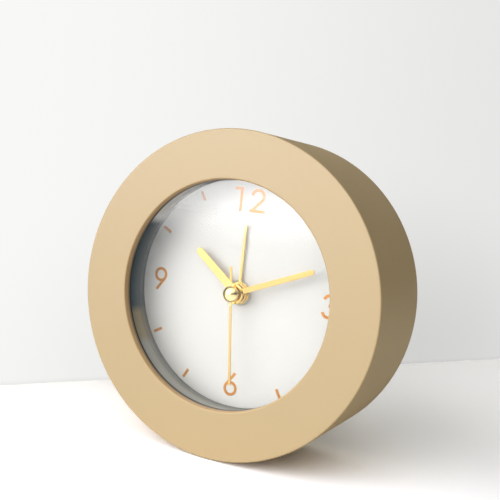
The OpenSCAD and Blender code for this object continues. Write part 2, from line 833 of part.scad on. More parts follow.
module second_wheel() {
  color("white") upright() {
    slab(second_layer, second_layer + wheel_t) wheel_2d(second_teeth, pinion_teeth, inter_dist, inter_dir);
    slab(third_layer - pinion_over, second_layer + 0.1)
      pinion_2d(pinion_teeth, third_teeth, third_dist, third_dir);
    peg([0, 0], second_shaft_r, second_hand_front + 0.1, rear_pivot);
  }
}

module third_wheel() {
  color("white") upright() {
    slab(third_layer, third_layer + wheel_t) translate(third_at)
      wheel_2d(third_teeth, pinion_teeth, third_dist, third_dir + 180);
    slab(centre_layer - pinion_over, third_layer + 0.1) translate(third_at)
      pinion_2d(pinion_teeth, centre_teeth, third_dist, third_dir + 180);
    arbor(third_at, arbor_r);
  }
}

// Gripped between the shoulder and the flange of the minute tube, which slips in it when the time is set
module centre_wheel() {
  color("white") upright() difference() {
    slab(centre_layer, centre_layer + wheel_t) wheel_2d(centre_teeth, pinion_teeth, third_dist, third_dir);
    peg([0, 0], cannon_out_r + run_gap, centre_layer - 1, centre_layer + wheel_t + 1);
  }
}

module minute_tube() {
  flange_front = centre_layer + wheel_t + 0.1;
  color("white") upright() difference() {
    union() {
      slab(minute_layer - pinion_over + 0.1, minute_layer + wheel_t + pinion_over)
        pinion_2d(cannon_teeth, minute_teeth, minute_dist, minute_dir);
      peg([0, 0], cannon_out_r, minute_hand_front - hub_step, flange_front + 0.1);
      peg([0, 0], cannon_out_r + 0.6, flange_front, flange_front + 0.4);
    }
    peg([0, 0], cannon_in_r, minute_hand_front - 1, flange_front + 1);
  }
}

module minute_wheel() {
  color("white") upright() {
    slab(minute_layer, minute_layer + wheel_t) translate(minute_at)
      wheel_2d(minute_teeth, cannon_teeth, minute_dist, minute_dir + 180);
    slab(hour_layer - pinion_over, minute_layer + 0.1) translate(minute_at)
      pinion_2d(minute_pinion_teeth, hour_teeth, minute_dist, minute_dir + 180);
    stem(minute_at, minute_layer + 0.1);
  }
}

// Setting stem with a thin pivot in front, which ends inside its knob
module stem(at, from) {
  peg(at, pivot_r, pivot_front, from + 0.1);
  peg(at, stem_r, from, knob_front + knob_h - 1.1);
}

module hour_wheel() {
  color("white") upright() difference() {
    union() {
      slab(hour_layer, hour_layer + wheel_t)
        wheel_2d(hour_teeth, minute_pinion_teeth, minute_dist, minute_dir);
      peg([0, 0], hour_out_r, hour_hand_front - hub_step, hour_layer + wheel_t);
    }
    peg([0, 0], hour_in_r, hour_hand_front - 1, hour_layer + wheel_t + 1);
  }
}

module alarm_wheel() {
  color("white") upright() difference() {
    union() {
      slab(alarm_layer, alarm_layer + wheel_t)
        wheel_2d(alarm_teeth, alarm_pinion_teeth, alarm_dist, alarm_dir);
      peg([0, 0], alarm_out_r, alarm_hand_front - hub_step, alarm_layer + wheel_t);
    }
    peg([0, 0], alarm_in_r, alarm_hand_front - 1, alarm_layer + wheel_t + 1);
  }
}

module alarm_setting_stem() {
  color("white") upright() {
    slab(alarm_layer - 0.1, alarm_layer + wheel_t + 0.1) translate(alarm_at)
      pinion_2d(alarm_pinion_teeth, alarm_teeth, alarm_dist, alarm_dir + 180);
    stem(alarm_at, alarm_layer + wheel_t);
  }
}

// Leaf that presses the hour wheel forward and closes the alarm contact
leaf_x = 5.3 - bay_half_l;
leaf_w = 2.4;
leaf_over = 1.6;
leaf_reach = 4.8;
leaf_y = 4.4;
leaf_t = 0.2;
leaf_front = hour_layer + wheel_t + 0.12;
leaf_back = leaf_front + leaf_t;
module alarm_leaf_spring() {
  color("goldenrod") upright() slab(leaf_front, leaf_back)
    translate([leaf_x - leaf_over, leaf_y - leaf_w / 2]) square([leaf_over - leaf_x - leaf_reach, leaf_w]);
}

// A hand that points up: a blade from the hub to a length, wider at the hub, with a round tip
module blade_2d(length, hub_w, tip_w) {
  end_y = length - tip_w / 2;
  polygon([[-hub_w / 2, 0], [hub_w / 2, 0], [tip_w / 2, end_y], [-tip_w / 2, end_y]]);
  translate([0, end_y]) circle(tip_w / 2, $fn = fine_n);
}

// Hand with its round hub and the collet behind it that grips a tube
module hand(front, tube_r, disc_r, angle) {
  difference() {
    union() {
      slab(front, front + hand_t) rotate(-angle) children();
      peg([0, 0], disc_r, front, front + hub_t);
      peg([0, 0], tube_r + collet_w, front, front + collet_h);
    }
    peg([0, 0], tube_r, front - 1, front + collet_h + 1);
  }
}

module alarm_hand() {
  disc_r = hub_d / 2;
  disc_t = hand_lift * 0.65;
  color("gold") upright() difference() {
    union() {
      slab(alarm_hand_front, alarm_hand_front + hand_t) rotate(-alarm_angle)
        blade_2d(alarm_len, alarm_w, alarm_w * 0.75);
      peg([0, 0], disc_r, alarm_hand_front, alarm_hand_front + disc_t);
    }
    peg([0, 0], alarm_out_r, alarm_hand_front - 1, alarm_hand_front + 2);
  }
}

module hour_hand() {
  color("gold") upright() hand(hour_hand_front, hour_out_r, hub_d / 2 - 0.15, hour_angle)
    blade_2d(hour_len, hour_w, hour_w * 0.85);
}

module minute_hand() {
  color("gold") upright() hand(minute_hand_front, cannon_out_r, hub_d / 2 - 0.35, minute_angle)
    blade_2d(minute_len, minute_w, minute_w * 0.95);
}

module second_hand() {
  color("gold") upright() difference() {
    union() {
      slab(second_hand_front, second_hand_front + hand_t) rotate(-second_angle)
        translate([-second_w / 2, -second_tail]) square([second_w, second_len + second_tail]);
      // The hub of the second hand is a little smaller than the cap, which hides it from the front
      peg([0, 0], cap_d / 2 - 0.1, second_hand_front, second_hand_front + hub_t);
      peg([0, 0], second_shaft_r + 0.5, second_hand_front, second_hand_front + collet_h);
    }
    peg([0, 0], second_shaft_r, second_hand_front - 1, second_hand_front + 2);
  }
}

// Domed button over the middle of the second hand
module second_hand_cap() {
  r = cap_d / 2;
  rim = 0.35;
  dome_h = cap_h - rim;
  ball_r = (r * r + dome_h * dome_h) / (2 * dome_h);
  color("gold") upright() turned() {
    translate([0, second_hand_front - rim]) square([r, rim]);
    intersection() {
      translate([0, second_hand_front - rim - dome_h + ball_r]) circle(ball_r, $fn = round_n);
      translate([0, second_hand_front - cap_h - 1]) square([r, cap_h + 1 - rim + 0.05]);
    }
  }
}

// Setting knob with grip grooves, over the rear end of a stem
knob_front = cover_back + 0.4;
module knob(at) {
  groove_r = 0.6;
  difference() {
    peg(at, knob_d / 2, knob_front, knob_front + knob_h);
    peg(at, stem_r, knob_front - 1, knob_front + knob_h - 1);
    for (i = [0:knob_grooves - 1])
      peg(at + polar(knob_d / 2 + groove_r * 0.3, i * 360 / knob_grooves), groove_r,
        knob_front - 1, knob_front + knob_h + 1);
  }
}

module time_set_knob() {
  color("black") upright() knob(minute_at);
}

module alarm_set_knob() {
  color("black") upright() knob(alarm_at);
}

module battery() {
  body_l = cell_l - button_l;
  cell_at = [-cell_l / 2, cell_y, case_depth / 2 - cell_depth];
  color("seagreen") upright() translate(cell_at) rotate([0, 90, 0]) {
    cylinder(h = body_l, r = cell_d / 2, $fn = round_n);
    cylinder(h = cell_l, r = button_r, $fn = fine_n);
  }
}

// Contact strips stand in the ends of the bay, and their tails run to the circuit board
strip_w = 2;
strip_front = cell_depth + cell_d * 0.22;
strip_back = strip_front + strip_w;
contact_half_w = 4;
module battery_plate_contact() {
  wall_x = bay_half_l;
  reach = wall_x - cell_l / 2;
  tail_y = bay_top + move_wall;
  color("silver") upright() {
    slab(cell_depth - contact_half_w, strip_back) translate([wall_x - contact_t, cell_y - contact_half_w])
      square([contact_t, bay_top - cell_y + contact_half_w - 0.3]);
    // Pressed dimple that meets the button of the cell
    slab(cell_depth - 1.6, cell_depth + 1.6) translate([cell_l / 2, cell_y - 1.6]) square([reach, 3.2]);
    slab(strip_front, strip_back) {
      translate([wall_x - contact_t, bay_top - 1]) square([contact_t, move_wall + 1.6]);
      translate([board_x1 - 1.6, tail_y + 0.2]) square([wall_x - board_x1 + 1.6, contact_t]);
    }
    slab(board_back, strip_back) translate([board_x1 - 1.6 - contact_t, tail_y + 0.2])
      square([contact_t, board_y0 - tail_y + 1.6]);
  }
}

module battery_leaf_contact() {
  wall_x = -bay_half_l;
  color("silver") upright() {
    slab(cell_depth - contact_half_w, strip_back) translate([wall_x, cell_y - contact_half_w])
      square([contact_t, bay_top - cell_y + contact_half_w - 0.3]);
    // Sprung tongue that bows out to the flat end of the cell
    slab(cell_depth - 2, cell_depth + 2)
      polygon([[wall_x + contact_t, cell_y - 3.8], [-cell_l / 2, cell_y - 0.8], [-cell_l / 2, cell_y + 0.8],
        [wall_x + contact_t, cell_y + 3.8]]);
    slab(strip_front, strip_back) translate([wall_x, bay_top - 1]) square([contact_t, move_wall + 2]);
    slab(board_back, strip_back) translate([wall_x, bay_top + move_wall])
      square([contact_t, board_y0 - bay_top]);
    slab(board_back, board_back + 0.3) translate([wall_x, board_y0]) square([2, 1.6]);
  }
}

module back_cover() {
  color("dimgray") upright() difference() {
    slab(cover_front, cover_back) circle(rim_r - cover_gap, $fn = round_n);
    for (at = cover_screws) {
      peg(at, screw_core_r + screw_fit, cover_front - 1, cover_back + 1);
      peg(at, screw_head_r + 0.3, cover_back - counterbore_h, cover_back + 1);
    }
    for (at = [minute_at, alarm_at]) peg(at, stem_r + 0.6, cover_front - 1, cover_back + 1);
    sound_holes(cover_front - 1, cover_back + 1);
    switch_slot(cover_front - 1, cover_back + 1);
    // Doorway, with a finger notch over the door and bores for its hinge pins
    slab(cover_front - 1, cover_back + 1) {
      translate([-door_half_w - door_gap, door_hinge_y - door_t / 2 - door_gap])
        square([2 * (door_half_w + door_gap), door_top - door_hinge_y + door_t / 2 + 2 * door_gap]);
    }
    slab(cover_front - 1, cover_back + 1) translate([0, door_top]) circle(2.2, $fn = fine_n);
    for (side = [-1, 1]) translate([side * door_half_w, door_hinge_y, case_depth / 2 - door_mid])
      rotate([0, side * 90, 0])
        cylinder(h = door_pin_l + door_gap + 0.3, r = door_pin_r + run_gap, $fn = fine_n);
  }
}

module back_cover_screws() {
  color("silver") upright()
    for (at = cover_screws) screw(at, cover_back - counterbore_h, screw_l);
}

module battery_door() {
  color("dimgray") upright() {
    slab(door_mid - door_t / 2, door_mid + door_t / 2) translate([-door_half_w, door_hinge_y])
      square([2 * door_half_w, door_top - door_hinge_y]);
    translate([0, door_hinge_y, case_depth / 2 - door_mid]) rotate([0, 90, 0]) {
      cylinder(h = 2 * door_half_w, r = door_t / 2, center = true, $fn = fine_n);
      cylinder(h = 2 * (door_half_w + door_gap + door_pin_l), r = door_pin_r, center = true, $fn = fine_n);
    }
  }
}

case_shell();
lens_gasket();
lens();
spacer_ring();
dial();
dial_numerals();
dial_ticks();
dial_plate();
dial_plate_screws();
feet();
back_cover();
back_cover_screws();
battery_door();
movement_front_plate();
movement_mid_plate();
mid_plate_screws();
movement_housing();
movement_screws();
circuit_board();
clock_chip();
quartz_crystal();
buzzer();
switch_body();
alarm_switch_slider();
stator();
coil_bobbin();
coil_winding();
rotor_magnet();
rotor_pinion();
intermediate_wheel();
second_wheel();
third_wheel();
centre_wheel();
minute_tube();
minute_wheel();
hour_wheel();
alarm_wheel();
alarm_setting_stem();
alarm_leaf_spring();
alarm_hand();
hour_hand();
minute_hand();
second_hand();
second_hand_cap();
time_set_knob();
alarm_set_knob();
battery();
battery_plate_contact();
battery_leaf_contact();
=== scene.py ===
import math

import bpy
import numpy as np
from mathutils import Matrix, Vector


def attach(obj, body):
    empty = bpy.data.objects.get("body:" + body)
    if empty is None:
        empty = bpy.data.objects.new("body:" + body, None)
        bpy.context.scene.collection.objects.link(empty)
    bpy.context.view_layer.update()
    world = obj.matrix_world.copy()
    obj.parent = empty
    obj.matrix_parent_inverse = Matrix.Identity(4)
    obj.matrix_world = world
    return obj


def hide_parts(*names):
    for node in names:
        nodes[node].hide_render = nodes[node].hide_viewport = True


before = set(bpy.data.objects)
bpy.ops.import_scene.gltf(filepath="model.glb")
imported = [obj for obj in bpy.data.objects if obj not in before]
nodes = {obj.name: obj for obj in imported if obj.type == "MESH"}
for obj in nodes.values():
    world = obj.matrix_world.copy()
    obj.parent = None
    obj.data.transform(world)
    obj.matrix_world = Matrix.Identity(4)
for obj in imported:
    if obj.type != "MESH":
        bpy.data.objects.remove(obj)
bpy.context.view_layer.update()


# Drum case. One plastic moulding, its face, wall and rear rim all round, sprayed with a soft sand-coloured paint.
# Every outside edge has a 0.5 mm round. The lip of the opening is painted light at its front, a brighter, warmer tan,
# and painted shade at its back by the gasket, near black. Inside, a rib centres the window and bosses take the screws.
case_r = 55.0  # radii are from the axis of the hands and depths from the face, in millimetres
case_depth = 40.5
opening_r = 38.4
face_t = 2.9
centre_up = 55.3
inner_r = 51.6
rim_r = 52.8
cover_front = 34.5
sand = (0.501, 0.362, 0.190)


def rounded(corners, closed=True, steps=6, gap=0.05):
    """Line through corners of (a, b, round): each corner is replaced by an arc of that radius, centred on the bisector
    at radius / sin(half the corner's angle), and every longer side gets a point at gap from each end, to keep it
    flat."""
    line = []
    count = len(corners)
    for i, (a, b, radius) in enumerate(corners):
        here = np.array((a, b), float)
        if radius <= 0 or (not closed and i in (0, count - 1)):
            line.append(here[None])
            continue
        before = np.array(corners[i - 1][:2], float) - here
        after = np.array(corners[(i + 1) % count][:2], float) - here
        before /= np.linalg.norm(before)
        after /= np.linalg.norm(after)
        half = math.acos(np.clip(before @ after, -1, 1)) / 2
        middle = (before + after) / np.linalg.norm(before + after)
        centre = here + middle * radius / math.sin(half)
        start = here + before * radius / math.tan(half) - centre
        end = here + after * radius / math.tan(half) - centre
        turn = math.pi - 2 * half
        t = np.linspace(0, 1, steps + 1)[:, None]
        line.append(centre + (np.sin((1 - t) * turn) * start + np.sin(t * turn) * end) / math.sin(turn))
    line = np.vstack(line)
    after = np.roll(line, -1, axis=0)
    side = after - line
    length = np.linalg.norm(side, axis=1, keepdims=True)
    near = line + side * gap / np.maximum(length, 1e-9)
    far = after - side * gap / np.maximum(length, 1e-9)
    full = np.stack([line, near, far], axis=1)
    keep = np.repeat(length > 6 * gap, 3, axis=1)
    keep[:, 0] = True
    if not closed:
        keep[-1, 1:] = False
    return full[keep]


def turned(profile, at=(0, 0), turns=256, about_depth=True):
    """Shell of a profile of (radius, depth) turned about the line through at: right = at + radius cos a, up = at +
    radius sin a. A profile away from the axis closes on itself, and one that ends on the axis is closed by fans.
    With about_depth false the axis runs from left to right, at is (up, depth) and the profile is (radius, right)."""
    profile = np.asarray(profile, float)
    on_axis = profile[:, 0] < 1e-6
    rim = profile[~on_axis]
    count = len(rim)
    a = np.linspace(0, 2 * np.pi, turns, endpoint=False)
    along = np.repeat(rim[:, 1:], turns, axis=1)
    one = at[0] + rim[:, :1] * np.cos(a)
    two = at[1] + rim[:, :1] * np.sin(a)
    points = np.stack([one, two, along] if about_depth else [along, one, two], axis=-1).reshape(-1, 3)
    i = np.arange(count - 1 if on_axis.any() else count)[:, None]
    j = np.arange(turns)[None, :]
    k = (j + 1) % turns
    p = (i + 1) % count
    faces = np.stack([i * turns + j, p * turns + j, p * turns + k, i * turns + k], axis=-1).reshape(-1, 4).tolist()
    j, k = j[0], k[0]
    for end, row in ((0, 0), (-1, count - 1)):
        if on_axis[end]:
            tip = [at[0], at[1], profile[end, 1]] if about_depth else [profile[end, 1], at[0], at[1]]
            points = np.vstack([points, tip])
            apex = np.full(turns, len(points) - 1)
            one, two = (j, k) if end == 0 else (k, j)
            faces += np.stack([apex, row * turns + one, row * turns + two], axis=-1).tolist()
    return points, faces


def piece(name, shells, body, slot, material, *stands_for, crease=32):
    """Object of shells of (right, up, depth) points in millimetres, put in the row frame in metres:
    x = right, y = depth - 20.25, z = up + 55.3. A shell whose volume, the sum of a . (b x c) / 6 over its
    triangles, comes out negative has its faces turned round. Edges sharper than crease degrees stay sharp."""
    all_points = []
    all_faces = []
    for points, faces in shells:
        points = np.asarray(points, float)
        row = np.stack([points[:, 0], points[:, 2] - case_depth / 2, points[:, 1] + centre_up], axis=-1) / 1000
        fans = [(f[0], f[m], f[m + 1]) for f in faces for m in range(1, len(f) - 1)]
        a, b, c = (row[np.array(fans)[:, m]] - row.mean(axis=0) for m in range(3))
        if np.einsum("ij,ij->", a, np.cross(b, c)) < 0:
            faces = [f[::-1] for f in faces]
        start = sum(len(p) for p in all_points)
        all_points.append(row)
        all_faces += [[v + start for v in f] for f in faces]
    mesh = bpy.data.meshes.new(name)
    mesh.from_pydata(np.vstack(all_points).tolist(), [], all_faces)
    mesh.polygons.foreach_set("use_smooth", np.ones(len(mesh.polygons), bool))
    mesh.set_sharp_from_angle(angle=math.radians(crease))
    mesh.materials.append(material)
    obj = bpy.data.objects.new(name, mesh)
    bpy.context.scene.collection.objects.link(obj)
    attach(obj, body)
    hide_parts(*stands_for)


def surface_group():
    """Shader group for moulded, painted and plated surfaces: slow noise shifts the colour by +-Play and the roughness
    by +-Rough Play, and fine noise gives a Height for a bump. Patch and Grain are the number of cells in a metre."""
    group = bpy.data.node_groups.new("surface_detail", "ShaderNodeTree")
    for name, kind, value in (("Colour", "Color", (0.8, 0.8, 0.8, 1)), ("Play", "Float", 0.03),
                              ("Patch", "Float", 60.0), ("Rough", "Float", 0.5), ("Rough Play", "Float", 0.05),
                              ("Grain", "Float", 3000.0)):
        group.interface.new_socket(name, in_out="INPUT", socket_type="NodeSocket" + kind).default_value = value
    for name, kind in (("Colour", "Color"), ("Rough", "Float"), ("Height", "Float")):
        group.interface.new_socket(name, in_out="OUTPUT", socket_type="NodeSocket" + kind)
    put, wire = group.nodes.new, group.links.new
    given, out = put("NodeGroupInput"), put("NodeGroupOutput")
    where = put("ShaderNodeTexCoord")
    slow, fine = put("ShaderNodeTexNoise"), put("ShaderNodeTexNoise")
    slow.inputs["Detail"].default_value = 4.0
    fine.inputs["Detail"].default_value = 2.0
    for noise, size in ((slow, "Patch"), (fine, "Grain")):
        wire(where.outputs["Object"], noise.inputs["Vector"])
        wire(given.outputs[size], noise.inputs["Scale"])
    centred = put("ShaderNodeMath")
    centred.operation = "SUBTRACT"
    centred.inputs[1].default_value = 0.5
    wire(slow.outputs["Fac"], centred.inputs[0])
    gain, tint, rough = put("ShaderNodeMath"), put("ShaderNodeVectorMath"), put("ShaderNodeMath")
    gain.operation = rough.operation = "MULTIPLY_ADD"
    gain.inputs[2].default_value = 1.0
    tint.operation = "SCALE"
    wire(centred.outputs[0], gain.inputs[0])
    wire(given.outputs["Play"], gain.inputs[1])
    wire(given.outputs["Colour"], tint.inputs[0])
    wire(gain.outputs[0], tint.inputs["Scale"])
    wire(centred.outputs[0], rough.inputs[0])
    wire(given.outputs["Rough Play"], rough.inputs[1])
    wire(given.outputs["Rough"], rough.inputs[2])
    wire(tint.outputs[0], out.inputs["Colour"])
    wire(rough.outputs[0], out.inputs["Rough"])
    wire(fine.outputs["Fac"], out.inputs["Height"])
    return group


detail = surface_group()


def finish(name, colour, rough, metal=0.0, play=0.06, patch=60.0, rough_play=0.08, grain=3000.0, bump=0.3,
           relief=0.00001, **shader):
    """Material whose colour, roughness and bump come from the surface group, with the rest set on the shader."""
    material = bpy.data.materials.new(name)
    material.use_nodes = True
    tree = material.node_tree
    principled = tree.nodes["Principled BSDF"]
    group = tree.nodes.new("ShaderNodeGroup")
    group.node_tree = detail
    values = (("Colour", (*colour, 1)), ("Play", play), ("Patch", patch), ("Rough", rough),
              ("Rough Play", rough_play), ("Grain", grain))
    for socket, value in values:
        group.inputs[socket].default_value = value
    height = tree.nodes.new("ShaderNodeBump")
    height.inputs["Strength"].default_value = bump
    height.inputs["Distance"].default_value = relief
    tree.links.new(group.outputs["Colour"], principled.inputs["Base Color"])
    tree.links.new(group.outputs["Rough"], principled.inputs["Roughness"])
    tree.links.new(group.outputs["Height"], height.inputs["Height"])
    tree.links.new(height.outputs["Normal"], principled.inputs["Normal"])
    principled.inputs["Metallic"].default_value = metal
    for socket, value in shader.items():
        principled.inputs[socket.replace("_", " ")].default_value = value
    return material


def dress(material, *names):
    """Gives a material to CAD nodes."""
    for name in names:
        mesh = nodes[name].data
        mesh.materials.clear()
        mesh.materials.append(material)


def detail_in(tree):
    """The surface group's node in a material made by finish."""
    return next(n for n in tree.nodes if n.type == "GROUP")


def places(tree):
    """X, Y and Z outputs of a surface point in Object coordinates, in metres."""
    where = tree.nodes.new("ShaderNodeTexCoord")
    part = tree.nodes.new("ShaderNodeSeparateXYZ")
    tree.links.new(where.outputs["Object"], part.inputs[0])
    return part.outputs


def at_depth(depth):
    """Y in Object coordinates, in metres, at a depth in millimetres."""
    return (depth - case_depth / 2) / 1000


def from_axis(tree):
    """Distance in metres from the line that the hands turn on, in Object coordinates."""
    where = tree.nodes.new("ShaderNodeTexCoord")
    flat = tree.nodes.new("ShaderNodeVectorMath")
    flat.operation = "MULTIPLY"
    flat.inputs[1].default_value = (1, 0, 1)
    apart = tree.nodes.new("ShaderNodeVectorMath")
    apart.operation = "DISTANCE"
    apart.inputs[1].default_value = (0, 0, centre_up / 1000)
    tree.links.new(where.outputs["Object"], flat.inputs[0])
    tree.links.new(flat.outputs[0], apart.inputs[0])
    return apart.outputs["Value"]


def feed(tree, socket, value):
    """Gives a socket a value, which is a constant or an output."""
    if isinstance(value, bpy.types.NodeSocket):
        tree.links.new(value, socket)
    else:
        socket.default_value = value


def fade(tree, value, start, end, low=0.0, high=1.0):
    """Smooth step of a value: low at start, high at end."""
    ease = tree.nodes.new("ShaderNodeMapRange")
    ease.interpolation_type = "SMOOTHSTEP"
    for socket, number in (("From Min", start), ("From Max", end), ("To Min", low), ("To Max", high)):
        ease.inputs[socket].default_value = number
    tree.links.new(value, ease.inputs["Value"])
    return ease.outputs["Result"]


def between(tree, factor, a, b, kind="RGBA"):
    """Blend of a and b, each a constant or an output, by a factor."""
    blend = tree.nodes.new("ShaderNodeMix")
    blend.data_type = kind
    for socket, value in (("Factor", factor), ("A", a), ("B", b)):
        feed(tree, blend.inputs[socket], value)
    return blend.outputs["Result"]


case_paint = finish("case_paint", sand, 0.46, play=0.03, patch=25.0, rough_play=0.06, grain=5200.0, bump=0.25,
                    relief=0.000012, Specular_IOR_Level=1.0)
tree = case_paint.node_tree
# painted light in front and painted shade behind on the lip of the opening, blended by depth
lip_painted_light, lip_painted_shade = (0.56, 0.35, 0.15, 1), (0.19, 0.115, 0.05, 1)
painted_light_ends, painted_shade_starts = 1.45, 2.55
lip_painted_light_and_shade = between(tree, fade(tree, places(tree)["Y"], at_depth(painted_light_ends), at_depth(painted_shade_starts)), lip_painted_light, lip_painted_shade)
on_face = fade(tree, from_axis(tree), (opening_r + 0.15) / 1000, (opening_r + 0.35) / 1000)
tree.links.new(between(tree, on_face, lip_painted_light_and_shade, (*sand, 1)), detail_in(tree).inputs["Colour"])
plate_front, dial_front = 15.1, 14.7
rib_out, rib_in, rib_end = 43.05, 41.55, dial_front - 0.1
boss_r, thread_r, thread_end_r = 2.6, 1.1, 0.9
cover_screw_r, plate_screw_r = 49.4, 49.1
case_profile = rounded([
    (opening_r, 0, 0.5), (case_r, 0, 0.5), (case_r, case_depth, 0.5), (rim_r, case_depth, 0.2), (rim_r, cover_front, 0),
    (inner_r, cover_front, 0), (inner_r, face_t, 0.3), (rib_out, face_t, 0.2), (rib_out, rib_end, 0.1),
    (rib_in, rib_end, 0.1), (rib_in, face_t, 0), (opening_r, face_t, 0.1)])
case_shells = [turned(case_profile, turns=320)]
for radius, angles, end in ((cover_screw_r, (35, 145, 215, 325), cover_front),
                            (plate_screw_r, (0, 90, 180, 270), plate_front)):
    boss = rounded([(boss_r, face_t - 0.1, 0), (boss_r, end, 0.15), (thread_r, end, 0.1), (thread_r, end - 7, 0),
                    (thread_end_r, end - 7.5, 0), (thread_end_r, face_t - 0.1, 0)])
    for angle in angles:
        at = (radius * math.cos(math.radians(angle)), radius * math.sin(math.radians(angle)))
        case_shells.append(turned(boss, at, turns=40))
piece("drum_case", case_shells, "clock_body", "case_paint", case_paint, "case_shell")


# Feet. Two strips of soft black rubber, glued into shallow pockets under the drum so that it doesn't roll.
# Their edges are cut square and only the lowest 0.3 mm stands proud of the drum.
foot_rubber = finish("foot_rubber", (0.012, 0.011, 0.010), 0.85, play=0.3, patch=300.0, grain=4000.0, bump=0.6,
                     relief=0.00004)
dress(foot_rubber, "feet")


# Window gasket. A flat ring of black closed-cell foam between the face and the lens.
# It shows as a thin black line round the opening.
ring_in, ring_out = 39.8, 41.4
gasket_black = finish("gasket_black", (0.022, 0.021, 0.017), 0.7, play=0.4, patch=500.0, grain=3500.0, bump=0.6,
                      relief=0.00004)
lens_front = face_t + 0.9
gasket = rounded([(opening_r + 0.02, face_t, 0.05), (ring_out, face_t, 0.05), (ring_out, lens_front, 0.05),
                  (opening_r + 0.02, lens_front, 0.3)])
piece("window_gasket", [turned(gasket)], "clock_body", "gasket_rubber", gasket_black, "lens_gasket")


# Lens. A flat disc of clear mineral glass with ground edges, pressed against the gasket by the spacer ring.
# Light that only casts shadows passes it freely, so that the dial is lit as it is behind real glass.
def either(tree, factor, one, other):
    """Shader that goes from one shader to the other with a factor."""
    both = tree.nodes.new("ShaderNodeMixShader")
    for socket, output in zip(both.inputs, (factor, one, other)):
        tree.links.new(output, socket)
    return both.outputs[0]


lens_clear = bpy.data.materials.new("lens_clear")
lens_clear.use_nodes = True
tree = lens_clear.node_tree
glass = tree.nodes["Principled BSDF"]
glass.inputs["Base Color"].default_value = (1, 1, 1, 1)
glass.inputs["Roughness"].default_value = 0.0
glass.inputs["IOR"].default_value = 1.5
glass.inputs["Transmission Weight"].default_value = 1.0
where = tree.nodes.new("ShaderNodeTexCoord")
smear = tree.nodes.new("ShaderNodeTexNoise")
smear.inputs["Scale"].default_value = 35.0
smear.inputs["Detail"].default_value = 1.0
wave = tree.nodes.new("ShaderNodeBump")
wave.inputs["Strength"].default_value = 0.15
wave.inputs["Distance"].default_value = 0.000003
tree.links.new(where.outputs["Object"], smear.inputs["Vector"])
tree.links.new(smear.outputs["Fac"], wave.inputs["Height"])
tree.links.new(wave.outputs["Normal"], glass.inputs["Normal"])
through = tree.nodes.new("ShaderNodeBsdfTransparent")
through.inputs["Color"].default_value = (0.93, 0.94, 0.93, 1)
ray = tree.nodes.new("ShaderNodeLightPath")
cleared = either(tree, ray.outputs["Is Shadow Ray"], glass.outputs[0], through.outputs[0])
tree.links.new(cleared, tree.nodes["Material Output"].inputs["Surface"])
dress(lens_clear, "lens")


# Spacer ring. A dark grey moulded ring, polished inside, that holds the lens 9.3 mm in front of the dial.
# Its inside wall is slate with painted reflection and painted light by height, light grey from 8 down and above 10,
# brownish near 8, and painted shade by depth towards the lens and the dial, so it is brightest along its middle.
ring_satin_painted_light = finish("ring_satin_painted_light", (0.125, 0.145, 0.152), 0.24, play=0.1, patch=80.0, rough_play=0.05, grain=1500.0,
                    bump=0.05, relief=0.00001, Specular_IOR_Level=0.09)
tree = ring_satin_painted_light.node_tree


def banded(tree, value, start, end, stops, kind):
    """Colour ramp along a value: each stop is a place, 0 at start and 1 at end, and its colour."""
    span = tree.nodes.new("ShaderNodeMapRange")
    span.inputs["From Min"].default_value, span.inputs["From Max"].default_value = start, end
    tree.links.new(value, span.inputs["Value"])
    bands = tree.nodes.new("ShaderNodeValToRGB")
    bands.color_ramp.interpolation = kind
    for i, (place, colour) in enumerate(stops):
        stop = bands.color_ramp.elements[i] if i < 2 else bands.color_ramp.elements.new(place)
        stop.position = place
        stop.color = colour
    tree.links.new(span.outputs["Result"], bands.inputs["Fac"])
    return bands.outputs


def reckon(tree, operation, *values):
    """Result of one math operation on constants and outputs."""
    step = tree.nodes.new("ShaderNodeMath")
    step.operation = operation
    for socket, value in zip(step.inputs, values):
        feed(tree, socket, value)
    return step.outputs[0]


def scaled(tree, colour, factor):
    """A colour times a factor that is an output."""
    product = tree.nodes.new("ShaderNodeVectorMath")
    product.operation = "SCALE"
    feed(tree, product.inputs[0], colour)
    tree.links.new(factor, product.inputs["Scale"])
    return product.outputs[0]


place = places(tree)
# painted reflection and painted light by height: light grey low down and at the top, brownish below the middle, slate
# between
slate_and_painted_light_stops = ((0.32, (0.38, 0.38, 0.36, 1)), (0.355, (0.33, 0.29, 0.21, 1)), (0.42, (0.31, 0.265, 0.19, 1)),
             (0.46, (0.080, 0.113, 0.136, 1)), (0.750, (0.080, 0.108, 0.128, 1)), (0.785, (0.78, 0.78, 0.76, 1)))
slate_and_painted_light = banded(tree, place["Z"], 0.0, 0.1, slate_and_painted_light_stops, "EASE")["Color"]
# painted shade by depth: darker towards the lens and the dial, brightest at 8.05 mm deep
painted_light_depth, painted_shade_level = 8.05, 0.30
off_middle = reckon(tree, "ABSOLUTE", reckon(tree, "SUBTRACT", place["Y"], at_depth(painted_light_depth)))
painted_shade_by_depth = fade(tree, off_middle, 0.0008, 0.0062, 1.0, painted_shade_level)
tree.links.new(scaled(tree, slate_and_painted_light, painted_shade_by_depth), detail_in(tree).inputs["Colour"])
ring_front = lens_front + 1.6
ring = rounded([(ring_in, ring_front, 0.15), (ring_out, ring_front, 0.1), (ring_out, dial_front, 0.1),
                (ring_in, dial_front, 0.15)])
piece("spacer_ring_piece", [turned(ring, turns=320)], "clock_body", "ring_plastic", ring_satin_painted_light, "spacer_ring")


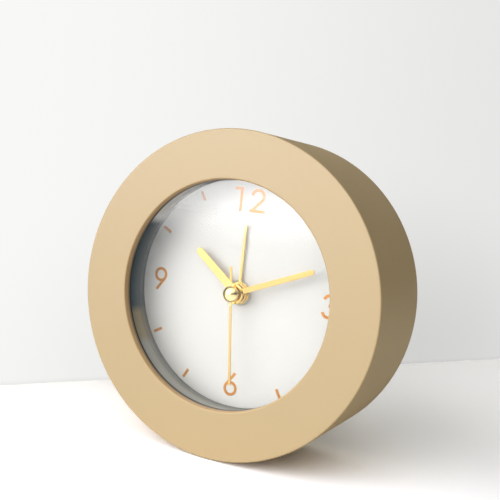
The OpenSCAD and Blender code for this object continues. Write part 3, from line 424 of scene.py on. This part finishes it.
# Dial. A sheet of matt white coated card on the moulded plate behind it, held by the spacer ring.
# Numerals and marks are cut from rose gold foil and hot-pressed on it.
dial_white = finish("dial_white", (0.655, 0.643, 0.628), 0.62, play=0.012, patch=90.0, rough_play=0.05, grain=6000.0,
                    bump=0.12, relief=0.000008)
dress(dial_white, "dial")
foil_copper = finish("foil_copper", (0.53, 0.20, 0.02), 0.36, metal=0.45, play=0.35, patch=240.0, rough_play=0.2,
                     grain=5000.0, bump=0.25, relief=0.00001, Specular_IOR_Level=0.1)
dress(foil_copper, "dial_numerals", "dial_ticks")


# Dial plate and movement mouldings. White ABS, satin from the mould, with fine ejector haze.
# The plate is screwed to the case bosses and carries the movement by its two ears.
movement_plastic = finish("movement_plastic", (0.68, 0.68, 0.645), 0.48, play=0.05, patch=140.0, rough_play=0.1,
                          grain=3200.0, bump=0.2, relief=0.00002, Subsurface_Weight=0.05)
dress(movement_plastic, "dial_plate", "movement_front_plate", "movement_mid_plate", "movement_housing", "coil_bobbin")


# Gears, tubes and stems. Natural acetal, moulded in small steel cavities. It is a little translucent, so the
# edges look soft.
gear_acetal = finish("gear_acetal", (0.74, 0.73, 0.66), 0.4, play=0.04, patch=300.0, grain=4500.0, bump=0.15,
                     relief=0.00001, Subsurface_Weight=0.1)
dress(gear_acetal, "rotor_pinion", "intermediate_wheel", "second_wheel", "third_wheel", "centre_wheel", "minute_tube",
      "minute_wheel", "hour_wheel", "alarm_wheel", "alarm_setting_stem")


# Screws, crystal can, stator and flat contact. Rolled, stamped or drawn from steel, then plated with bright
# zinc or nickel, through which the drawing marks show.
bright_steel = finish("bright_steel", (0.56, 0.55, 0.53), 0.3, metal=1.0, play=0.15, patch=400.0, rough_play=0.25,
                      grain=6000.0, bump=0.3, relief=0.00001)
dress(bright_steel, "dial_plate_screws", "back_cover_screws", "mid_plate_screws", "movement_screws", "quartz_crystal",
      "stator", "battery_plate_contact")


# Circuit board. Glass cloth in resin, cut to shape and coated with green solder resist. The weave shows as a
# faint 0.4 mm grain.
board_green = finish("board_green", (0.012, 0.13, 0.045), 0.35, play=0.2, patch=900.0, grain=2600.0, bump=0.3,
                     relief=0.00002, Coat_Weight=0.4)
dress(board_green, "circuit_board")


# Chip, buzzer and switch box. Black moulding compound, pressed round the parts inside, with the dull skin of
# the mould.
black_moulding = finish("black_moulding", (0.016, 0.016, 0.017), 0.5, play=0.3, patch=500.0, grain=5200.0, bump=0.4,
                        relief=0.00002)
dress(black_moulding, "clock_chip", "buzzer", "switch_body")


# Coil. Thin enamelled copper wire, wound in layers from one cheek of the bobbin to the other. The turns show as
# fine bands across it.
winding = finish("winding_copper", (0.50, 0.16, 0.06), 0.3, metal=0.9, play=0.3, patch=1500.0, grain=4000.0)
tree = winding.node_tree
where = tree.nodes.new("ShaderNodeTexCoord")
turns_of_wire = tree.nodes.new("ShaderNodeTexWave")
turns_of_wire.bands_direction = "X"
turns_of_wire.inputs["Scale"].default_value = 2200.0
turns_of_wire.inputs["Distortion"].default_value = 0.6
bump = next(n for n in tree.nodes if n.type == "BUMP")
bump.inputs["Strength"].default_value = 0.8
bump.inputs["Distance"].default_value = 0.00005
tree.links.new(where.outputs["Object"], turns_of_wire.inputs["Vector"])
tree.links.new(turns_of_wire.outputs["Fac"], bump.inputs["Height"])
dress(winding, "coil_winding")


# Rotor magnet and bronze springs. The magnet is sintered ferrite, ground round. The leaf spring and the leaf
# contact are bent from rolled phosphor bronze strip.
ferrite = finish("ferrite", (0.05, 0.05, 0.055), 0.55, metal=0.4, play=0.4, patch=1200.0, grain=5000.0, bump=0.5,
                 relief=0.00002)
dress(ferrite, "rotor_magnet")
bronze = finish("spring_bronze", (0.55, 0.33, 0.12), 0.32, metal=1.0, play=0.2, patch=350.0, rough_play=0.2,
                grain=5000.0, bump=0.25)
dress(bronze, "alarm_leaf_spring", "battery_leaf_contact")


# Hands. Stamped from 0.35 mm brass, edges rolled over by the die, plated satin gold, deeper on the two in front.
# Each is soldered to a turned, polished hub with a collet behind it that grips its tube. From the dial out they are
# the alarm, hour, minute and second hand.
hand_t = 0.35
hand_gold = finish("hand_gold", (0.69, 0.475, 0.175), 0.46, metal=1.0, play=0.08, patch=150.0, rough_play=0.12,
                   grain=4200.0, bump=0.2, relief=0.000008)
tree = hand_gold.node_tree
hub_edge, hour_to_minute = 4.2, dial_front - 4.1
on_blade = fade(tree, from_axis(tree), (hub_edge - 0.1) / 1000, (hub_edge + 0.1) / 1000)
behind = fade(tree, places(tree)["Y"], at_depth(hour_to_minute - 0.2), at_depth(hour_to_minute + 0.2))
front_gold, hub_gold, hub_rough = (0.60, 0.405, 0.132, 1), (0.95, 0.70, 0.25, 1), 0.15
satin = detail_in(tree).outputs
plated = tree.nodes["Principled BSDF"].inputs
blade_gold = between(tree, behind, front_gold, satin["Colour"])
tree.links.new(between(tree, on_blade, hub_gold, blade_gold), plated["Base Color"])
tree.links.new(between(tree, on_blade, hub_rough, satin["Rough"], "FLOAT"), plated["Roughness"])


def stamped(outline, front, back, roll=0.08, steps=4):
    """Shell of a flat convex plate: its outline (right, up) is drawn in by roll * (1 - sin t) at the depth
    front + roll * (1 - cos t) toward back, with t from 0 to 90 degrees, which rounds its front edge; both faces are
    fans."""
    outline = np.asarray(outline, float)
    side = np.roll(outline, -1, axis=0) - outline
    normal = np.stack([side[:, 1], -side[:, 0]], axis=-1) / np.linalg.norm(side, axis=1, keepdims=True)
    x, y = outline.T
    if np.sum(x * np.roll(y, -1) - y * np.roll(x, -1)) < 0:
        normal = -normal
    before = np.roll(normal, 1, axis=0)
    outward = (normal + before) / (1 + np.sum(normal * before, axis=1, keepdims=True))
    t = np.linspace(0, np.pi / 2, steps + 1)
    inset = np.concatenate([[roll + 0.04], roll * (1 - np.sin(t)), [0.0]])
    depth = np.concatenate([[front], front + np.copysign(roll, back - front) * (1 - np.cos(t)), [back]])
    rings = outline[None] - inset[:, None, None] * outward[None]
    count = len(outline)
    points = np.concatenate([rings, np.repeat(depth[:, None], count, axis=1)[..., None]], axis=-1).reshape(-1, 3)
    i = np.arange(len(depth) - 1)[:, None]
    j = np.arange(count)[None]
    k = (j + 1) % count
    faces = np.stack([i * count + j, (i + 1) * count + j, (i + 1) * count + k, i * count + k], axis=-1)
    faces = faces.reshape(-1, 4).tolist()
    middle = outline.mean(axis=0)
    points = np.vstack([points, [*middle, front], [*middle, back]])
    last = (len(depth) - 1) * count
    j, k = j[0], k[0]
    apex = np.full(count, len(points) - 2)
    faces += np.stack([apex, j, k], axis=-1).tolist() + np.stack([apex + 1, last + k, last + j], axis=-1).tolist()
    return points, faces


def clockwise(points, angle):
    """Turns points of (right, up) clockwise by an angle in degrees."""
    c, s = math.cos(math.radians(angle)), math.sin(math.radians(angle))
    return np.asarray(points, float) @ np.array([[c, -s], [s, c]])


def blade(length, root_w, tip_w, start=0.0):
    """Outline of a hand that points up: straight sides from root_w at start to tip_w, and a half-round tip."""
    t = np.linspace(0, np.pi, 17)
    tip = np.stack([tip_w / 2 * np.cos(t), length - tip_w / 2 + tip_w / 2 * np.sin(t)], axis=-1)
    return np.vstack([tip, [[-root_w / 2, start], [root_w / 2, start]]])


def hub(front, hole_r, disc_r, disc_t, collet_r, collet_l):
    """Shells of a hand's round hub, its rim turned to a soft curve, and of the collet behind it."""
    disc = rounded([(hole_r, front, 0.05), (disc_r, front, 0.3), (disc_r, front + disc_t, 0.3),
                    (hole_r, front + disc_t, 0)], steps=6)
    shells = [turned(disc, turns=96)]
    if collet_l > 0:
        collet = rounded([(hole_r, front + 0.2, 0), (collet_r, front + 0.2, 0), (collet_r, front + collet_l, 0.12),
                          (hole_r, front + collet_l, 0.05)], steps=3)
        shells.append(turned(collet, turns=64))
    return shells


alarm_above_dial, stack_h = 1.175, 5.875
step = stack_h / 3
alarm_front = dial_front - alarm_above_dial
hour_front, minute_front, second_front = (alarm_front - n * step for n in (1, 2, 3))
hub_t, collet_l, collet_wall = 1.1, 0.8 * step, 0.75
proud = 0.01
alarm_blade = blade(23.5, root_w=1.05, tip_w=0.8, start=3.3)
hour_blade = blade(21.4, root_w=3.1, tip_w=2.65, start=2.6)
minute_blade = blade(30.8, root_w=1.9, tip_w=1.8, start=1.8)
for name, body, front, outline, angle, hole_r, disc_r, disc_t, pipe_l in (
        ("alarm_hand", "alarm_hand_body", alarm_front, alarm_blade, 0.5, 3.0, 3.9, 0.76, 0),
        ("hour_hand", "hour_hand_body", hour_front, hour_blade, 308.5, 2.35, 3.75, hub_t, collet_l),
        ("minute_hand", "minute_hand_body", minute_front, minute_blade, 68, 1.55, 3.55, hub_t, collet_l)):
    shells = [stamped(clockwise(outline, angle), front - proud, front + hand_t - proud)]
    shells += hub(front, hole_r, disc_r, disc_t, hole_r + collet_wall, pipe_l)
    piece(name + "_plated", shells, body, "hand_gold", hand_gold, name)
half_w, tail_l, tip_l, second_angle = 0.425, 9.4, 30.9, 174.3
needle = clockwise([(half_w, -tail_l), (half_w, tip_l), (-half_w, tip_l), (-half_w, -tail_l)], second_angle)
shells = [stamped(needle, second_front - proud, second_front + hand_t - proud)]
shells += hub(second_front, hole_r=0.6, disc_r=2.7, disc_t=hub_t, collet_r=1.1, collet_l=collet_l)
piece("second_hand_plated", shells, "second_hand_body", "hand_gold", hand_gold, "second_hand")


# Cap. A domed brass button, turned, polished and gold plated. It is pressed on the end of the second hand's pipe
# and hides the hub.
cap_r, cap_rim, cap_h = 2.8, 0.35, 1.7
dome_h = cap_h - cap_rim
ball_r = (cap_r ** 2 + dome_h ** 2) / (2 * dome_h)
sweep = np.linspace(0, math.asin(cap_r / ball_r), 25)
dome = np.stack([ball_r * np.sin(sweep), second_front - cap_h + ball_r * (1 - np.cos(sweep))], axis=-1)
foot = np.array([(cap_r, second_front - 0.12), (cap_r - 0.04, second_front - 0.03), (cap_r - 0.12, second_front),
                 (0, second_front)])
cap_gold = finish("cap_gold", (0.94, 0.77, 0.38), 0.10, metal=1.0, play=0.03, patch=300.0, rough_play=0.04,
                  grain=900.0, bump=0.05, relief=0.00002)
piece("second_hand_button", [turned(np.vstack([dome, foot]), turns=96)], "second_hand_body", "cap_gold", cap_gold,
      "second_hand_cap")


# Back cover. Black ABS from a mould with a spark-eroded texture, held by four screws. It has holes for the buzzer
# and the stems.
cover_black = finish("cover_black", (0.048, 0.048, 0.05), 0.5, play=0.2, patch=260.0, rough_play=0.12, grain=1500.0,
                     bump=0.8, relief=0.00008)
dress(cover_black, "back_cover")


# Battery door. The same ABS, on a hinge barrel with two pins under its lower edge. Its top edge is rounded for the
# fingertip that pulls it out by the notch in the cover, and three ribs give grip.
door_low, door_high, door_back, door_t = -36.1, -18.9, 36.4, 1.8
door_half, pins_half = 27.6, 28.9
barrel_r, pin_r = 0.9, 0.5
leaf = rounded([(-door_half, door_low, 0.1), (door_half, door_low, 0.1), (door_half, door_high, 0.8),
                (-door_half, door_high, 0.8)])
door_shells = [stamped(leaf, door_back, door_back - door_t, roll=0.3)]
for radius, half in ((barrel_r, door_half), (pin_r, pins_half)):
    barrel = rounded([(0, -half, 0), (radius, -half, 0.15), (radius, half, 0.15), (0, half, 0)], closed=False)
    door_shells.append(turned(barrel, (door_low, door_back - barrel_r), turns=48, about_depth=False))
rib_half, rib_end_r, rib_h = 7, 0.35, 0.4
t = np.linspace(-np.pi / 2, np.pi / 2, 13)
bar_end = np.stack([rib_half + rib_end_r * np.cos(t), rib_end_r * np.sin(t)], axis=-1)
bar = np.vstack([bar_end, -bar_end])
for up in (-21.4, -22.9, -24.4):
    door_shells.append(stamped(bar + (0, up), door_back + rib_h, door_back - 0.1, roll=0.25))
piece("battery_door_moulded", door_shells, "battery_door_body", "cover_plastic", cover_black, "battery_door")


# Setting knobs. Black ABS with twenty grip grooves, a raised rim and a dished end, pressed on the rear ends of the
# time stem and the alarm stem.
knob_black = finish("knob_black", (0.030, 0.030, 0.032), 0.36, play=0.2, patch=300.0, grain=3600.0, bump=0.3,
                    relief=0.00002)


def fluted(shell, at, count, deep):
    """Turned shell with grip grooves: a point at distance r and angle a from the line through at moves in by
    deep * (1 + cos(count a))^2 / 4, less and less as r falls from 5.8 to 4.8 mm."""
    points, faces = shell
    out = points[:, :2] - at
    r = np.maximum(np.hypot(*out.T), 1e-9)
    swing = 1 + np.cos(count * np.arctan2(out[:, 1], out[:, 0]))
    points[:, :2] -= out * (deep * swing ** 2 / 4 * np.clip(r - 4.8, 0, 1) / r)[:, None]
    return points, faces


knob_front, knob_back, knob_r = 36.9, 40.1, 5.97
bore_r, rim_in, dish_r = 1.25, 4.7, 4.2
grooves, groove_deep = 20, 0.42
knob = rounded([(0, knob_back - 1, 0), (bore_r, knob_back - 1, 0), (bore_r, knob_front, 0), (knob_r, knob_front, 0.25),
                (knob_r, knob_back, 0.5), (rim_in, knob_back, 0.25), (dish_r, knob_back - 0.5, 0.3),
                (0, knob_back - 0.65, 0)], closed=False)
for name, body, at in (("time_set_knob", "time_setting", (-9.502, -6.654)),
                       ("alarm_set_knob", "alarm_setting", (7.713, -9.193))):
    shells = [fluted(turned(knob, at, turns=320), at, grooves, groove_deep)]
    piece(name + "_moulded", shells, body, "knob_plastic", knob_black, name)


# Alarm slider. The same ABS as the knobs, with three cross grooves in its pad. It clips into its slot in the back
# cover.
dress(knob_black, "alarm_switch_slider")


# AA cell. A steel can in a printed plastic sleeve, plain green with a copper-coloured band at the positive end, turned
# over the edge of the bare negative end.
cell_wrap = finish("cell_wrap", (0.02, 0.16, 0.075), 0.25, play=0.08, patch=120.0, grain=2500.0, bump=0.1,
                   Coat_Weight=0.5)
tree = cell_wrap.node_tree
# bare end, sleeve, band, bare end; the fourth number of each is how metallic it is
zones = banded(tree, places(tree)["X"], -0.026, 0.026, (
    (0.0, (0.58, 0.57, 0.55, 1)), (0.03, (0.02, 0.16, 0.075, 0)), (0.78, (0.62, 0.25, 0.09, 0.9)),
    (0.952, (0.58, 0.57, 0.55, 1))), "CONSTANT")
tree.links.new(zones["Color"], detail_in(tree).inputs["Colour"])
tree.links.new(zones["Alpha"], tree.nodes["Principled BSDF"].inputs["Metallic"])
cell_up, cell_depth = -27.4, 26.6
cell_r, cell_end, sleeve_low, sleeve_high = 7.24, 25.25, -25.1, 23.9
cell = rounded([(0, -cell_end, 0), (4.7, -cell_end, 0.1), (4.9, -25.0, 0.1), (5.9, -25.0, 0),
                (6.0, sleeve_low, 0.05), (cell_r, sleeve_low, 0.5), (cell_r, sleeve_high, 0.5),
                (6.3, sleeve_high, 0.1), (6.1, 23.7, 0.1), (2.9, 23.95, 0.2), (2.6, cell_end, 0.35),
                (0, cell_end, 0)], closed=False)
piece("battery_cell", [turned(cell, (cell_up, cell_depth), turns=96, about_depth=False)], "clock_body", "cell_wrap",
      cell_wrap, "battery")


# Table and wall. A white table top meets a white wall that runs past the clock on its left. To the camera the table
# is brightest in front and on the left and keeps the clock's shadow, and the wall is dimmer to the right, behind the
# clock and along its foot. The clock itself is lit by plainer colours of both.
def sheet_of(name, corners, material):
    """Flat four-cornered sheet that isn't part of the clock."""
    mesh = bpy.data.meshes.new(name)
    mesh.from_pydata(corners, [], [[0, 1, 2, 3]])
    mesh.materials.append(material)
    obj = bpy.data.objects.new(name, mesh)
    bpy.context.scene.collection.objects.link(obj)


def seen(tree):
    """Mask that is 1 for rays from the camera, also where they come through the lens."""
    path = tree.nodes.new("ShaderNodeLightPath")
    return reckon(tree, "MAXIMUM", path.outputs["Is Camera Ray"], path.outputs["Is Transmission Ray"])


def along(tree, direction, kind="Object"):
    """Dot product of a direction and the coordinates of a kind."""
    where = tree.nodes.new("ShaderNodeTexCoord")
    length = tree.nodes.new("ShaderNodeVectorMath")
    length.operation = "DOT_PRODUCT"
    length.inputs[1].default_value = direction
    tree.links.new(where.outputs[kind], length.inputs[0])
    return length.outputs["Value"]


table_white = bpy.data.materials.new("table_white")
table_white.use_nodes = True
tree = table_white.node_tree
table = tree.nodes["Principled BSDF"]
table.inputs["Roughness"].default_value = 0.6
table.inputs["Specular IOR Level"].default_value = 0.3
to_right, to_window = (0.8, 0.6, 0), (-0.45, -0.893, 0)
lift, lighting_colour = 1.58 * np.array((0.92, 0.93, 1.015)), (0.90, 0.86, 0.76, 1)
left_colour, right_colour = (*(1.19 * lift), 1), (*(0.97 * lift), 1)
shown_colour = between(tree, fade(tree, along(tree, to_right), 0.035, 0.105), left_colour, right_colour)
tree.links.new(between(tree, seen(tree), lighting_colour, shown_colour), table.inputs["Base Color"])
# towards the window the table fades out from 1 m to 20 m, so that it doesn't hide the low light
ahead = reckon(tree, "MAXIMUM", along(tree, to_window), 0.1)
fading = fade(tree, reckon(tree, "DIVIDE", 1.0, ahead), 1.0, 0.05)
nothing = tree.nodes.new("ShaderNodeBsdfTransparent")
table_top = either(tree, fading, table.outputs[0], nothing.outputs[0])
tree.links.new(table_top, tree.nodes["Material Output"].inputs["Surface"])
half = 8
sheet_of("table_top", [(-half, -half, 0), (half, -half, 0), (half, half, 0), (-half, half, 0)], table_white)

wall_white = bpy.data.materials.new("wall_white")
wall_white.use_nodes = True
tree = wall_white.node_tree
wall_paint = tree.nodes["Principled BSDF"]
wall_paint.inputs["Base Color"].default_value = (0.66, 0.62, 0.54, 1)
wall_paint.inputs["Roughness"].default_value = 0.8
lit = tree.nodes.new("ShaderNodeEmission")
lit.inputs["Color"].default_value = (1.0, 1.0, 0.985, 1)
foot_of_wall = np.array([-0.1073, -0.0044])
along_wall = np.array([0.1536, 0.2837]) / math.hypot(0.1536, 0.2837)
how_far, how_high = along(tree, (*along_wall, 0)), places(tree)["Z"]
# a soft shadow spot behind the clock, measured as a share of its half width and half height
spot_far, spot_half_w, spot_half_h = 0.145, 0.25, 0.12
in_spot = tree.nodes.new("ShaderNodeCombineXYZ")
off_spot = reckon(tree, "SUBTRACT", how_far, spot_far)
tree.links.new(reckon(tree, "DIVIDE", off_spot, spot_half_w), in_spot.inputs["X"])
tree.links.new(reckon(tree, "DIVIDE", how_high, spot_half_h), in_spot.inputs["Y"])
from_spot = tree.nodes.new("ShaderNodeVectorMath")
from_spot.operation = "LENGTH"
tree.links.new(in_spot.outputs[0], from_spot.inputs[0])
left_level, right_level = 0.945, 0.800
level = fade(tree, how_far, -0.10, 0.25, left_level, right_level)
for distance, reach, darkest in ((from_spot.outputs["Value"], 1.0, 0.77), (how_high, 0.0025, 0.93)):
    level = reckon(tree, "MULTIPLY", level, fade(tree, distance, 0.0, reach, darkest, 1.0))
tree.links.new(level, lit.inputs["Strength"])
shown = either(tree, seen(tree), wall_paint.outputs[0], lit.outputs[0])
side_of = tree.nodes.new("ShaderNodeNewGeometry")
clear = tree.nodes.new("ShaderNodeBsdfTransparent")
one_sided = either(tree, side_of.outputs["Backfacing"], shown, clear.outputs[0])
tree.links.new(one_sided, tree.nodes["Material Output"].inputs["Surface"])
wall_height = 2.5
near_end, far_end = foot_of_wall - along_wall * 0.07, foot_of_wall + along_wall * 3.0
sheet_of("back_wall", [(*near_end, 0), (*far_end, 0), (*far_end, wall_height), (*near_end, wall_height)], wall_white)


# Light. A bright window low on the left in front, its softer upper part, a soft light above in front, and a weak
# warm glow overhead. Each row holds the direction from the clock to the light, the degrees from there at which it
# starts to fall off and at which it ends, its colour and its strength.
lights = [
    ((-0.50, -0.86, 0.05), 6, 26, (1, 1, 1), 3.6),
    ((-0.50, -0.80, 0.34), 10, 45, (1, 1, 1), 2.3),
    ((0.10, -0.70, 0.70), 10, 45, (0.98, 1.0, 0.94), 1.50),
    ((0.30, 0.25, 0.92), 10, 75, (1, 0.93, 0.78), 0.14),
]
world = bpy.data.worlds.new("room")
bpy.context.scene.world = world
world.use_nodes = True
tree = world.node_tree
total = (0, 0, 0)
for direction, inner, outer, colour, strength in lights:
    facing = along(tree, Vector(direction).normalized(), "Generated")
    glow = fade(tree, facing, math.cos(math.radians(outer)), math.cos(math.radians(inner)), 0.0, strength)
    add = tree.nodes.new("ShaderNodeVectorMath")
    feed(tree, add.inputs[0], total)
    tree.links.new(scaled(tree, colour, glow), add.inputs[1])
    total = add.outputs[0]
path = tree.nodes.new("ShaderNodeLightPath")
room_white = (0.86, 0.86, 0.85, 1)
backdrop = between(tree, path.outputs["Is Camera Ray"], total, room_white)
tree.links.new(backdrop, tree.nodes["Background"].inputs["Color"])


# Camera. It stands in front on the right and a little above the clock, looks slightly down, and is turned by a few
# degrees about its line of sight.
camera_data = bpy.data.cameras.new("photo_camera")
camera_data.lens = 56.7
camera_data.sensor_width = 36.0
camera_data.clip_start = 0.01
camera_data.clip_end = 20.0
camera = bpy.data.objects.new("photo_camera", camera_data)
forward = Vector((-0.4502, 0.8899, -0.0740)).normalized()
up = Vector((-0.1269, 0.0182, 0.9917))
right = forward.cross(up).normalized()
up = right.cross(forward)
turn = Matrix((right, up, -forward)).transposed()
camera.matrix_world = Matrix.Translation((0.12353, -0.24626, 0.09045)) @ turn.to_4x4()
bpy.context.scene.collection.objects.link(camera)
bpy.context.scene.camera = camera
bpy.context.scene.view_settings.view_transform = "Standard"
